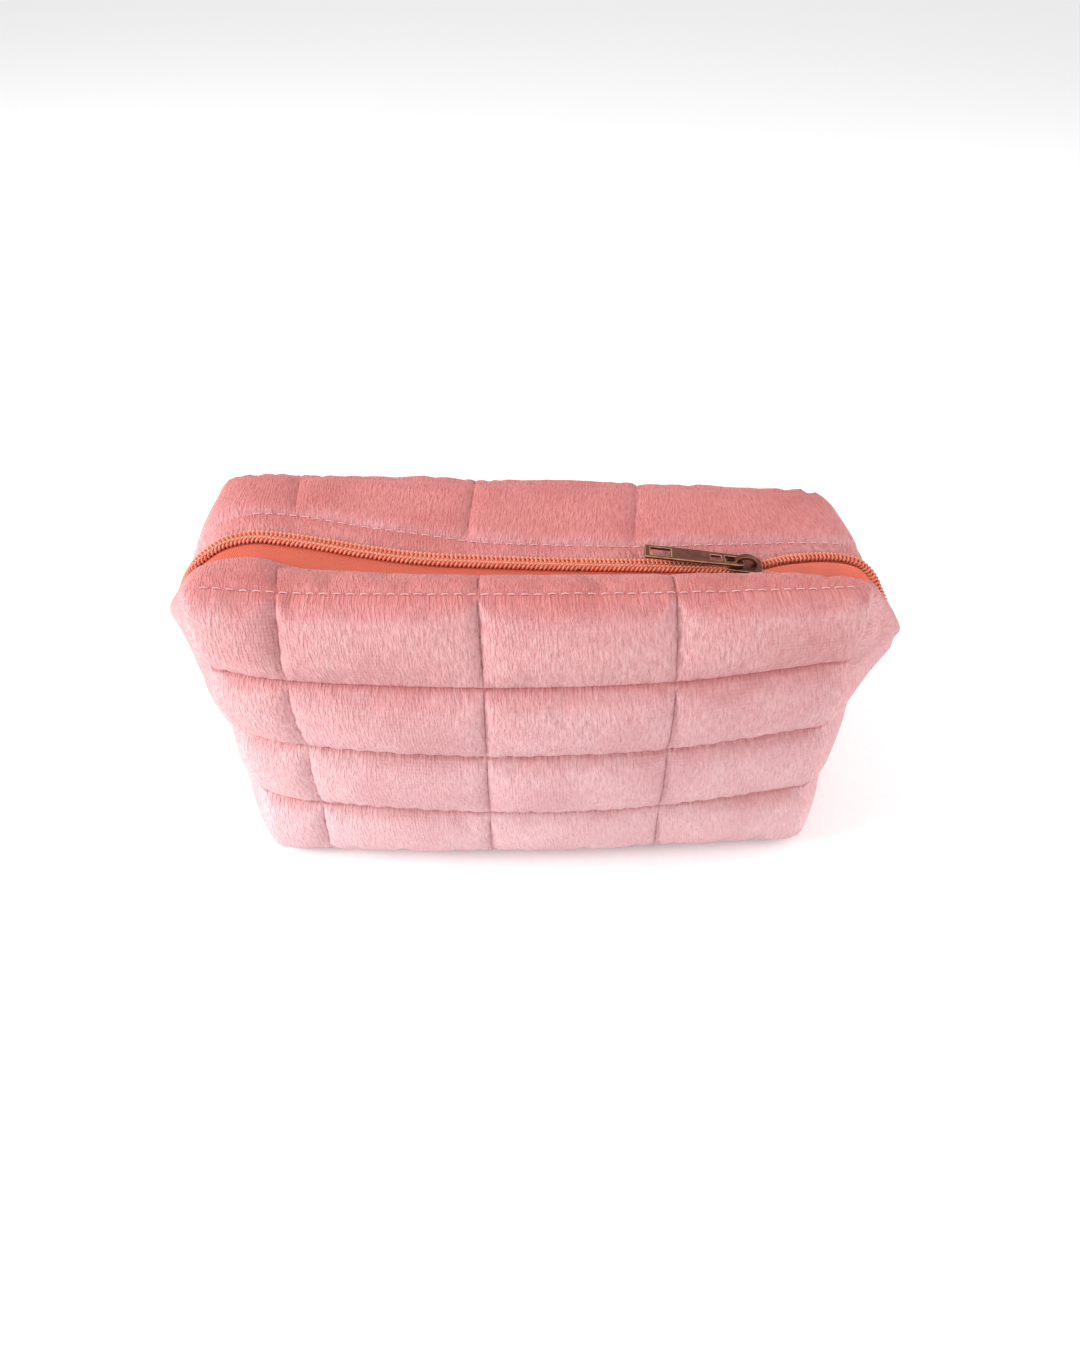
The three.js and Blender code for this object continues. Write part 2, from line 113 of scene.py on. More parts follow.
# How the fold edges and the rear stitch line come down each end, from left to right.
LEFT_FRONT_DROP = np.array([LEFT_EAR, (-115.8, 3.6, 91.6), (-105.5, -2.7, 106)], float)
LEFT_STITCH_DROP = np.array([LEFT_EAR, (-114.8, 9.4, 92), (-106.8, 7.5, 105.8)], float)
LEFT_BACK_DROP = np.array([LEFT_EAR, (-115.8, 6, 91.6), (-106, 2.2, 105.6)], float)
RIGHT_FRONT_DROP = np.array([(106, -14.9, 106.8), (114.6, -11.4, 96), RIGHT_EAR], float)
RIGHT_STITCH_DROP = np.array([(108, 5.4, 103), (115.8, -0.6, 91.2), RIGHT_EAR], float)
RIGHT_BACK_DROP = np.array([(109, 2.4, 102.2), (116.6, -3.4, 90.4), RIGHT_EAR], float)

# Where the quilting lines cross the fold edges and the rear stitch line.
FRONT_FOLD_X = (-105.5, -77.5, -16, 43, 106)
BACK_STITCH_X = (-108, -75.5, -20.6, 33, 108)
BACK_FOLD_X = (-106, -75, -20.5, 34, 109)

# The padding.
WALL_PUFF = 3.9                # its height in a cell of the walls
END_PUFF = 2                   # in the middle of the ends
STRIP_PUFF = 2.5               # in the top strips
BAND_PUFF = 1.2                # between the rear stitch line and the fold
FOLD_SHARE = 0.5               # share of a strip's padding that is left at its fold edge
FOLD_RADIUS = 2.2              # radius of the roll at a fold edge
EAR_RADIUS = 0.5               # and of its end at an ear
ROW_SWELL = 7, 15              # how far from a row's line it swells steeply, and to its middle
COLUMN_SWELL = 4.5, 22         # the same for a column
FRONT_SWELL = 5, 6             # in the front strip, how far from its wall and from its fold
BACK_SWELL = 6, 4              # the same in the rear strip
BAND_SWELL = 2, 2              # and between the rear stitch line and the fold
FRONT_DIP, BACK_DIP, BAND_DIP = 0.45, 0.32, 0.2     # share by which the columns pull them down
LINE_REACH = 5                 # how far from a plain seam the padding is held down
COLUMN_DEPTH = 0.52            # share by which a vertical quilting line pulls the padding down
TOP_DEPTH = 0.5                # and the seam along the top of a wall
FAINT = 0.7                    # how much fainter a line across the padding looks than one along it, in its painted crease shade and in how firmly the cloth is held there
PUCKER = 0.5                   # height of the small gathers beside the stitching
FLOOR_GAP = 0.15               # the lowest that any point of the fabric lies
SEAM_ALLOWANCE = 2.5           # how far a strip's outer edge is turned in
LINING_DEPTH = 7.2             # how far the lining lies inside the plush

# The cloth simulation.
SETTLE_SCALE = 0.01            # the cloth settles at ten times its size, where the solver is steady
SETTLE_FRAMES = 16
SETTLE_EXTRA = 0.032           # share by which the cloth is cut larger than its cell
SETTLE_PRESSURE = 30
SETTLE_CAP = 2.2               # the furthest a point may move
SETTLE_GRIP = 1.5              # how far from its stitching the cloth is held

# The zip and the thread.
ROW_APART = 2.2                # between the middles of the two rows where the zip is shut
COIL_PITCH = 1.4
COIL_WIRE = 0.42               # radius of the nylon wire
COIL_HALF_WIDTH = 1.1
COIL_HALF_HEIGHT = 0.9
COIL_LEAN = 0.22               # how far each loop leans along the row, in pitches
PARTING_X = 68                 # where the two rows part
LEVEL_TAPE = 4.2               # how far the tape stays level beside its coil
TAPE_DEPTH = 0.45
CORE_SIZE = 0.9, 0.5           # half the width and height of the cord inside the coil
SEWING_RADIUS = 0.26           # radius of the thread that sews the coil down
SEWING_ASIDE = 0.45            # and how far outward of the coil's middle it runs
FACING_SETBACK = 0.7           # how far in front of the rear row the facing hangs
FACING_DEPTH = 15
FACING_END = 118.5             # where along X the facing ends
PLEAT = 0.9                    # height of the facing's small pleats
STITCH_PITCH = 3.9
STITCH_LENGTH = 2.3
STITCH_RADIUS = 0.16           # radius of the thread

# The camera: its place, its pitch, yaw and roll in degrees, and its lens in mm.
CAMERA_PLACE = (-4.92, -237.4, 277.8)
CAMERA_TURN = (43.36, 2.06, 0.634)
LENS = 24

# Where along X the left and right halves of the lips' pieces meet.
HALF_MEETS = 15
HALVES = ("left", "right")

# The two lips, and which way along Y is outward from the zip.
LIPS = (("front", -1), ("back", 1))


# --- curves -------------------------------------------------------------------------------------

def smooth(points, share):
    """Points at shares from 0 to 1 along a smooth curve through the given points."""
    points = np.asarray(points, float)
    cells = len(points) - 1
    place = np.clip(np.asarray(share, float), 0, 1) * cells
    cell = np.minimum(place.astype(int), cells - 1)
    t = (place - cell).reshape((-1,) + (1,) * (points.ndim - 1))
    first, last = 2 * points[0] - points[1], 2 * points[-1] - points[-2]
    line = np.concatenate([[first], points, [last]])
    a, b, c, d = (line[cell + k] for k in range(4))
    return 0.5 * (2 * b + (c - a) * t + (2 * a - 5 * b + 4 * c - d) * t**2 + (3 * b - a - 3 * c + d) * t**3)


def at_x(line, x):
    """The points of a line at the given x, for a line that runs on in x."""
    return np.stack([x, np.interp(x, line[:, 0], line[:, 1]), np.interp(x, line[:, 0], line[:, 2])], -1)


def lengths(line):
    """How far along a line of points each one lies."""
    return np.concatenate([[0], np.cumsum(np.linalg.norm(np.diff(line, axis=0), axis=1))])


def points_at(line, wanted):
    """The points of a line at the wanted distances along it."""
    run = lengths(line)
    return np.stack([np.interp(wanted, run, line[:, k]) for k in range(3)], -1)


def unit(vectors):
    """The vectors with their lengths made 1."""
    return vectors / np.linalg.norm(vectors, axis=1, keepdims=True)


def even(line, spacing):
    """Points along a smooth line, evenly apart."""
    dense = smooth(line, np.linspace(0, 1, 2000))
    total = lengths(dense)[-1]
    return points_at(dense, np.linspace(0, total, max(2, int(total / spacing) + 1)))


def cell_places(steps):
    """Sample places over cells 0 to 1, 1 to 2 and so on, closer together beside each cell's edges."""
    places = [0.0]
    for cell, count in enumerate(steps):
        for k in range(1, count + 1):
            t = k / count
            places.append(cell + 0.3 * t + 0.7 * (1 - math.cos(math.pi * t)) / 2)
    return np.array(places)


def crown(distance, reach):
    """The height of padding, from 0 at a crease to 1 at the reach, rising steeply at first."""
    d = np.clip(distance / reach, 0, 1)
    return (1 - (1 - d) ** 2) ** 0.6


def pillow(distance, reach, half_cell):
    """A quilted cell's swell: steep beside the stitching, then easing up to the middle of the cell."""
    middle = np.sin(math.pi / 2 * np.clip(distance / half_cell, 0, 1))
    return 0.6 * crown(distance, reach) + 0.4 * middle


def lumps(points, size, seed):
    """Soft unevenness from -1 to 1 at each point, in lumps of that size."""
    shift = Vector((seed * 7.3, seed * 3.1, seed * 5.7))
    return np.array([noise.noise(Vector(p) / size + shift) for p in points])


# --- grids of points ----------------------------------------------------------------------------

def grid_lengths(grid, axis):
    """How far each point of a grid lies along its row (axis 1) or up its column (axis 0)."""
    before = [(0, 0), (0, 0)]
    before[axis] = (1, 0)
    return np.cumsum(np.pad(np.linalg.norm(np.diff(grid, axis=axis), axis=2), before), axis=axis)


def grid_quads(i):
    """The quads between the point numbers of a grid."""
    return np.stack([i[:-1, :-1], i[:-1, 1:], i[1:, 1:], i[1:, :-1]], -1).reshape(-1, 4)


def quad_edges(quads):
    """The edges of all quads as pairs of point numbers, the lower one first."""
    edges = np.concatenate([quads[:, [k, (k + 1) % 4]] for k in range(4)])
    return np.sort(edges, axis=1)


# --- the outer fabric as one welded net ---------------------------------------------------------

class Net:
    """Patches of quads that share their edges, with a padding height and a flow length at each point."""

    def __init__(self):
        self.points, self.quads, self.labels = [], [], []
        self.height, self.crease, self.flow = [], [], []
        self.patches = []
        self.count = 0

    def add(self, label, grid, height, crease, along_rows=False):
        rows, columns = grid.shape[:2]
        self.points.append(grid.reshape(-1, 3))
        self.height.append(np.broadcast_to(height, (rows, columns)).ravel())
        self.crease.append(np.broadcast_to(crease, (rows, columns)).ravel())
        across, up = grid_lengths(grid, 1), grid_lengths(grid, 0)
        flow = np.stack([up + grid[:1, :, 0], across], -1) if along_rows else np.stack([across, up], -1)
        self.flow.append(flow.reshape(-1, 2))
        index = np.arange(rows * columns).reshape(rows, columns) + self.count
        quads = grid_quads(index)
        self.quads.append(quads)
        self.patches.append((label, index))
        self.labels += [label] * len(quads)
        self.count += rows * columns

    def weld(self):
        """Joins the points that lie in the same place; the flow stays with each patch's own corners."""
        points = np.concatenate(self.points)
        quads = np.concatenate(self.quads)
        key = np.floor(points / 0.02 + 0.2718).astype(np.int64)
        _, first, of = np.unique(key, axis=0, return_index=True, return_inverse=True)
        of = of.ravel()
        self.patches = [(label, of[i]) for label, i in self.patches]
        total = np.bincount(of)
        self.co = np.stack([np.bincount(of, points[:, k]) / total for k in range(3)], -1)
        self.puff = np.bincount(of, np.concatenate(self.height)) / total
        self.fold = np.bincount(of, np.concatenate(self.crease)) / total
        self.corner_flow = np.concatenate(self.flow)[quads]
        self.faces = of[quads]
        self.names = np.array(self.labels)
        self.edges = np.unique(quad_edges(self.faces), axis=0)

    def strip(self, name):
        """The point numbers of a strip, with a row for each station and columns from outside to the fold."""
        found = [i for label, i in self.patches if label == f"{name}_strip"]
        if name == "front":
            return found[0][:, ::-1]
        return np.concatenate([found[0], found[1][:, 1:]], axis=1)

    def normals(self):
        a, b, c, d = (self.co[self.faces[:, k]] for k in range(4))
        face = np.cross(c - a, d - b)
        total = np.zeros_like(self.co)
        for k in range(4):
            np.add.at(total, self.faces[:, k], face)
        return total / np.maximum(np.linalg.norm(total, axis=1, keepdims=True), 1e-9)

    def relax(self, weight, rounds):
        """Moves each point towards the middle of its neighbours, by its own weight."""
        a, b = self.edges.T
        degree = np.bincount(np.concatenate([a, b]), minlength=len(self.co))[:, None]
        for _ in range(rounds):
            total = np.zeros_like(self.co)
            np.add.at(total, a, self.co[b])
            np.add.at(total, b, self.co[a])
            self.co += weight[:, None] * (total / degree - self.co)


def line_distance(places, crossings, creases):
    """The distance in mm from each sample place to the nearest crease line on either side of it."""
    nearest = np.full(len(places), 1e3)
    run = lengths(crossings)
    position = np.interp(places, np.arange(len(run)), run)
    for line in creases:
        nearest = np.minimum(nearest, np.abs(position - run[line]))
    return nearest


COLUMNS = cell_places(COLUMN_STEPS)
ROWS = cell_places((CELL_STEPS,) * 4)
RIDGE = int(np.argmin(np.abs(ROWS - RIDGE_ROW)))
DROP = len(ROWS) - 1 - RIDGE
FRONT_HALF = cell_places((FRONT_STEPS,))
BACK_HALF = cell_places((BACK_STEPS,))
AROUND_END = np.concatenate([FRONT_HALF, 2 - BACK_HALF[::-1][1:]]) / 2


def wall_grid(net):
    """A wall's base surface, with a row of points for each place up it."""
    by_column = smooth(net.transpose(1, 0, 2), COLUMNS / 4)
    return smooth(by_column.transpose(1, 0, 2), ROWS / 4)


def back_net():
    """The rear wall's crossings: the front ones mirrored, with their own top row."""
    net = FRONT_NET * (1, -1, 1)
    net[-1] = BACK_TOP
    return net


def end_grid(front_seam, middle, back_seam):
    """An end's surface up to its seam: each row runs from the front corner round to the back one."""
    rows = []
    for k, (front, back) in enumerate(zip(front_seam, back_seam)):
        share = k / (len(front_seam) - 1)
        centre = smooth(middle, [ROWS[k] / RIDGE_ROW * 0.999])[0]
        round_it = 0.84 - 0.32 * np.clip(share * 2.5 - 1.5, 0, 1)
        bend_front, bend_back = front + (centre - front) * 0.5, back + (centre - back) * 0.5
        bend_front[0] = front[0] + (centre[0] - front[0]) * round_it
        bend_back[0] = back[0] + (centre[0] - back[0]) * round_it
        line = np.array([front, bend_front, centre, bend_back, back])
        rows.append(smooth(line, AROUND_END))
    return np.array(rows)


def outer_line(wall):
    """A strip's outer edge: up the wall's left corner, along its top and down its right corner."""
    return np.concatenate([wall[RIDGE:, 0], wall[-1, 1:], wall[RIDGE:-1, -1][::-1]])


def inner_line(line, columns, left_drop, right_drop):
    """A line of the strip that comes up one end, runs along the top and goes down the other end."""
    left = smooth(left_drop, np.arange(DROP) / DROP)
    right = smooth(right_drop, np.arange(1, DROP + 1) / DROP)
    dense = smooth(line, np.linspace(0, 1, 600))
    return np.concatenate([left, at_x(dense, smooth(columns, COLUMNS / 4)), right])


def roll_radius(line):
    """How widely the plush rolls over at a fold edge: hardly at all near the ears."""
    run = lengths(line)
    from_ear = np.clip(np.minimum(run, run[-1] - run) / 24, 0, 1)
    return EAR_RADIUS + (FOLD_RADIUS - EAR_RADIUS) * from_ear


def set_back(line, outward):
    """A fold edge moved back by its own roll and padding, so that the finished edge is on the line."""
    radius = roll_radius(line)[:, None]
    return line + radius * (0, outward, 0) - radius / FOLD_RADIUS * (0, 0, 0.8 * FOLD_SHARE * STRIP_PUFF)


def strip_cell(outer, inner, t, ridge_left, ridge_right):
    """The base surface between two lines of a strip, joined to the end seam at both ends."""
    grid = outer[:, None] + (inner - outer)[:, None] * t[None, :, None]
    for row, ridge in ((0, ridge_left), (len(grid) - 1, ridge_right)):
        miss = ridge - grid[row]
        near = np.clip(1 - np.abs(np.arange(len(grid)) - row) / DROP, 0, 1)
        near = near**2 * (3 - 2 * near)
        grid += near[:, None, None] * miss[None]
    return grid


def strip_puff(grid, height, reach, dip):
    """Padding of a strip cell: down at its long edges and at the three column lines."""
    across = grid_lengths(grid, 1)
    run = lengths(grid[:, 0])
    marks = [DROP + int(np.argmin(np.abs(COLUMNS - k))) for k in (1, 2, 3)]
    column = np.min([np.abs(run - run[m]) for m in marks], axis=0)
    end = np.minimum(run, run[-1] - run)
    from_fold = np.clip((across[:, -1:] - across) / reach[1], 0, 1)
    fold = FOLD_SHARE + (1 - FOLD_SHARE) * np.sin(math.pi / 2 * from_fold)
    edge = crown(across, reach[0]) * fold
    share = edge * (1 - dip * (1 - crown(column, 8)))[:, None] * crown(end + 1.2, 12)[:, None]
    crease = np.minimum(np.minimum(across, 99), column[:, None]) + FAINT
    return height * share, crease


def outer_fabric():
    """The whole outer surface before it is padded, with the height of its padding."""
    front, back = wall_grid(FRONT_NET), wall_grid(back_net())
    left = end_grid(front[:RIDGE + 1, 0], LEFT_END, back[:RIDGE + 1, 0])
    right = end_grid(front[:RIDGE + 1, -1], RIGHT_END, back[:RIDGE + 1, -1])
    net = Net()
    add_walls(net, front, back)
    add_ends(net, left, right)
    net.add("walls", *floor_patch(front, back, left, right))
    add_strips(net, front, back, left[-1], right[-1])
    net.weld()
    return net


def add_walls(net, front, back):
    """The two walls: a pillow in each cell, held down less by the columns than by the rows."""
    columns = line_distance(COLUMNS, FRONT_NET[2], (1, 2, 3))
    rows = line_distance(ROWS, FRONT_NET[:, 2], (1, 2, 3))
    top = line_distance(ROWS, FRONT_NET[:, 2], (4,))
    beside = 1 - COLUMN_DEPTH * (1 - pillow(columns, *COLUMN_SWELL))
    above = pillow(rows, *ROW_SWELL) * (1 - TOP_DEPTH * (1 - crown(top, LINE_REACH)))
    share = beside[None, :] * above[:, None]
    crease = np.minimum(columns[None, :] + FAINT / 2, np.minimum(rows, top + FAINT)[:, None])
    net.add("walls", front, WALL_PUFF * share, crease)
    net.add("walls", back[:, ::-1], WALL_PUFF * share[:, ::-1], crease[:, ::-1])


def add_ends(net, left, right):
    """The two ends, whose padding rises from their middle line to that of the walls."""
    rows = line_distance(ROWS, FRONT_NET[:, 2], (1, 2, 3))[:RIDGE + 1]
    seam = line_distance(ROWS[:RIDGE + 1], FRONT_NET[:, 2], (1, 2))
    run = lengths(FRONT_NET[:, 2])
    to_seam = np.abs(np.interp(ROWS, np.arange(5), run)[:RIDGE + 1]
                     - np.interp(ROWS[RIDGE], np.arange(5), run))
    round_end = np.abs(np.linspace(-1, 1, left.shape[1]))[None, :]
    height = (END_PUFF + (WALL_PUFF - END_PUFF) * round_end**3) * pillow(seam, *ROW_SWELL)[:, None]
    height = height * (1 - (1 - crown(to_seam, LINE_REACH))[:, None] * (1 - round_end**2))
    crease = np.minimum(rows, to_seam)[:, None] + 0 * round_end
    net.add("left_end", left[:, ::-1], height[:, ::-1], crease)
    net.add("right_end", right, height, crease)


def add_strips(net, front, back, left_seam, right_seam):
    """The two top strips, from the walls to the fold edges beside the zip."""
    for name, lines in strip_lines(front, back).items():
        if name == "front":
            grid = strip_cell(lines[0], lines[1], FRONT_HALF, left_seam[:FRONT_STEPS + 1],
                              right_seam[:FRONT_STEPS + 1])
            cells = [(grid, *strip_puff(grid, STRIP_PUFF, FRONT_SWELL, FRONT_DIP))]
        else:
            cells = back_cells(lines, left_seam[FRONT_STEPS:][::-1], right_seam[FRONT_STEPS:][::-1])
        for grid, puff, crease in cells:
            flip = slice(None, None, -1) if name == "front" else slice(None)
            net.add(f"{name}_strip", grid[:, flip], puff[:, flip], crease[:, flip], along_rows=True)


def back_cells(lines, left, right):
    """The two cells of the rear strip: outside the stitch line and between it and the fold."""
    wide = BACK_STEPS - BAND_STEPS
    first = strip_cell(lines[0], lines[1], cell_places((wide,)), left[:wide + 1], right[:wide + 1])
    second = strip_cell(lines[1], lines[2], cell_places((BAND_STEPS,)), left[wide:], right[wide:])
    return [(first, *strip_puff(first, STRIP_PUFF, BACK_SWELL, BACK_DIP)),
            (second, *strip_puff(second, BAND_PUFF, BAND_SWELL, BAND_DIP))]


def strip_lines(front, back):
    """The lines of each top strip, from the wall to the fold edge."""
    front_fold = inner_line(FRONT_FOLD, FRONT_FOLD_X, LEFT_FRONT_DROP, RIGHT_FRONT_DROP)
    back_stitch = inner_line(BACK_STITCH, BACK_STITCH_X, LEFT_STITCH_DROP, RIGHT_STITCH_DROP)
    back_fold = inner_line(BACK_FOLD, BACK_FOLD_X, LEFT_BACK_DROP, RIGHT_BACK_DROP)
    return {"front": [outer_line(front), set_back(front_fold, -1)],
            "back": [outer_line(back), back_stitch, set_back(back_fold, 0.15)]}


def floor_patch(front, back, left, right):
    """The underside, spanned between the four foot edges."""
    u = ((front[0, :, 0] - front[0, 0, 0]) / (front[0, -1, 0] - front[0, 0, 0]))[None, :, None]
    across = len(left[0])
    v = ((left[0, :, 1] - left[0, 0, 1]) / (left[0, -1, 1] - left[0, 0, 1]))[:, None, None]
    a, b, c, d = front[0, 0], front[0, -1], back[0, 0], back[0, -1]
    edges = (1 - v) * front[0][None] + v * back[0][None]
    sides = (1 - u) * left[0][:, None] + u * right[0][:, None]
    corners = (1 - v) * ((1 - u) * a + u * b) + v * ((1 - u) * c + u * d)
    grid = edges + sides - corners
    columns = line_distance(COLUMNS, FRONT_NET[0], (1, 2, 3))[None, :]
    middle = np.abs(np.linspace(-1, 1, across))[:, None] * 35
    height = 0.55 * WALL_PUFF * crown(columns, 8) * crown(middle, 8) + 0.45 * WALL_PUFF
    return grid[::-1], height[::-1], np.minimum(columns, middle)[::-1]


def puffed(net):
    """Pads the net out along its normals, rounds the corner folds and rests it on the floor."""
    base = net.co.copy()
    uneven = lumps(base, 34, 1) * 0.9 + lumps(base, 13, 2) * 0.45
    net.co = base + net.normals() * (net.puff * (1 + 0.16 * uneven))[:, None]
    weight = 0.62 * np.clip(1 - corner_distance(base) / 9, 0, 1)
    weight[boundary(net)] = 0
    net.relax(weight, 40)
    net.co += net.normals() * (0.35 * lumps(base, 22, 3) + 0.2 * lumps(base, 8, 4))[:, None] \
        * (net.puff / WALL_PUFF)[:, None]
    away = np.clip((corner_distance(base) - 2) / 10, 0, 1)
    net.co += net.normals() * (puckers(base, net.fold) * away * PUCKER)[:, None]
    settled(net)
    net.co[:, 2] = np.maximum(net.co[:, 2], FLOOR_GAP)
    return net


def settled(net):
    """Lets the padded net settle as cloth: held along its stitching and filled out by the wadding."""
    mesh = bpy.data.meshes.new("settling")
    mesh.from_pydata((net.co * SETTLE_SCALE).tolist(), [], net.faces.tolist())
    piece = put("settling", mesh)
    held = piece.vertex_groups.new(name="held")
    grip = np.clip(1 - net.fold / SETTLE_GRIP, 0, 1)
    grip[boundary(net)] = 1
    grip[net.co[:, 2] < FLOOR_GAP + 0.6] = 1
    for index in np.flatnonzero(grip > 0):
        held.add([int(index)], float(grip[index]), "REPLACE")
    cloth = piece.modifiers.new("cloth", "CLOTH")
    cloth.point_cache.frame_end = SETTLE_FRAMES
    settings = cloth.settings
    settings.quality = 5
    settings.mass = 0.1
    settings.air_damping = 3
    settings.tension_stiffness = settings.compression_stiffness = 12
    settings.shear_stiffness = 4
    settings.bending_stiffness = 0.4
    settings.vertex_group_mass = "held"
    settings.shrink_min = settings.shrink_max = -SETTLE_EXTRA
    settings.use_pressure = True
    settings.uniform_pressure_force = SETTLE_PRESSURE
    settings.effector_weights.gravity = 0
    cloth.collision_settings.use_collision = False
    for frame_number in range(1, SETTLE_FRAMES + 1):
        bpy.context.scene.frame_set(frame_number)
    shape = piece.evaluated_get(bpy.context.evaluated_depsgraph_get()).to_mesh()
    moved = np.zeros(len(net.co) * 3, np.float32)
    shape.vertices.foreach_get("co", moved)
    move = moved.reshape(-1, 3) / SETTLE_SCALE - net.co
    far = np.linalg.norm(move, axis=1, keepdims=True)
    cap = SETTLE_CAP * np.clip(net.puff / WALL_PUFF, 0.3, 1)[:, None] ** 2
    net.co += move * np.minimum(1, cap / np.maximum(far, 1e-6))
    bpy.data.objects.remove(piece)
    bpy.data.meshes.remove(mesh)
    bpy.context.scene.frame_set(1)


def puckers(points, crease):
    """Small gathers in the cloth that run out from the stitching and fade within a few millimetres."""
    close = np.exp(-np.clip(crease, 0, 40) / 4.5) * np.clip(crease / 1.2, 0, 1)
    return close * (0.75 * lumps(points, 4.2, 5) + 0.6 * lumps(points, 8.5, 7))


def boundary(net):
    """Which points are on the net's open edges."""
    pairs, counts = np.unique(quad_edges(net.faces), axis=0, return_counts=True)
    return np.unique(pairs[counts == 1])


def corner_distance(points):
    """The distance of each point from the nearest corner fold."""
    front, back = wall_grid(FRONT_NET), wall_grid(back_net())
    away = end_edge_distance(points)
    for wall in (front, back):
        away = np.minimum(away, far_from(points, wall[0]))
        for line in (wall[:, 0], wall[:, -1]):
            away = np.minimum(away, far_from(points, line) + 3.5 + np.clip(points[:, 2] - 95, 0, 15) / 4)
    for side, middle in ((0, LEFT_END), (-1, RIGHT_END)):
        end = end_grid(front[:RIDGE + 1, side], middle, back[:RIDGE + 1, side])
        away = np.minimum(away, far_from(points, end[0]))
        away = np.minimum(away, far_from(points, end[-1]) + 5)
    return away


def far_from(points, line):
    """The distance from each point to the nearest point of a line."""
    best = np.full(len(points), 1e9)
    for p in line:
        best = np.minimum(best, ((points - p) ** 2).sum(1))
    return np.sqrt(best)


def end_edge_distance(points):
    """The distance from the rounded edge where the top strips turn down over the ends."""
    left = [(-101, -27.5, 116), (-105, -14, 110), (-106, 0, 105.6), (-107, 14, 110), (-99, 28.5, 115.3)]
    right = [(101, -27, 113), (106, -14, 107), (110, 3, 103), (107, 14, 106.5), (98, 25, 110.6)]
    lines = [smooth(line, np.linspace(0, 1, 40)) for line in (left, right)]
    return np.min([far_from(points, line) for line in lines], axis=0) + np.abs(points[:, 1]) / 8


# --- objects ------------------------------------------------------------------------------------

def put(name, data):
    """A new object in the scene."""
    made = bpy.data.objects.new(name, data)
    bpy.context.collection.objects.link(made)
    return made


def make(name, points, faces, material, body=None, flow=None, creases=None):
    """A mesh object in metres from points in mm, with the fabric's own lengths as its UV map."""
    mesh = bpy.data.meshes.new(name)
    mesh.from_pydata((np.asarray(points) * MM).tolist(), [], [list(map(int, f)) for f in faces])
    mesh.polygons.foreach_set("use_smooth", [True] * len(mesh.polygons))
    if flow is not None:
        layer = mesh.uv_layers.new(name="flow")
        layer.data.foreach_set("uv", (np.asarray(flow) * 0.01).astype(np.float32).ravel())
    if creases is not None:
        attribute = mesh.attributes.new("crease", "FLOAT", "POINT")
        attribute.data.foreach_set("value", np.asarray(creases, np.float32))
    mesh.update()
    piece = put(name, mesh)
    mesh.materials.append(material)
    if body:
        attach(piece, body)
    return piece


def cut_out(net, keep):
    """The points, faces, flow and crease values of the faces to keep."""
    faces = net.faces[keep]
    used, index = np.unique(faces, return_inverse=True)
    return net.co[used], index.reshape(faces.shape), net.corner_flow[keep].reshape(-1, 2), net.fold[used]


def tube(path, radius, sides=6, closed_ends=True):
    """A round tube's points and faces along a path; radius is one number or (across, up)."""
    path = np.asarray(path, float)
    wide, high = (radius, radius) if np.isscalar(radius) else radius
    way = unit(np.gradient(path, axis=0))
    side = np.cross(way, (0, 0, 1.0))
    weak = np.linalg.norm(side, axis=1) < 1e-6
    side[weak] = (0, 1, 0)
    side = unit(side)
    up = np.cross(side, way)
    turn = np.arange(sides) * 2 * math.pi / sides
    sideways = side[:, None] * (np.cos(turn) * wide)[None, :, None]
    upward = up[:, None] * (np.sin(turn) * high)[None, :, None]
    points = (path[:, None] + (sideways + upward)).reshape(-1, 3)
    faces = []
    for i in range(len(path) - 1):
        for k in range(sides):
            a, b = i * sides + k, i * sides + (k + 1) % sides
            faces.append((a, b, b + sides, a + sides))
    if closed_ends:
        faces.append(tuple(range(sides))[::-1])
        faces.append(tuple(len(points) - sides + k for k in range(sides)))
    return points, faces


def gather(parts):
    """Several sets of points and faces as one."""
    points, faces, start = [], [], 0
    for some_points, some_faces in parts:
        points.append(np.asarray(some_points))
        faces += [tuple(start + k for k in face) for face in some_faces]
        start += len(some_points)
    return np.concatenate(points), faces


def bend_half(piece):
    """Bakes the placement of half of a lip's piece into its own points."""
    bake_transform(piece)
    return piece


# --- materials ----------------------------------------------------------------------------------

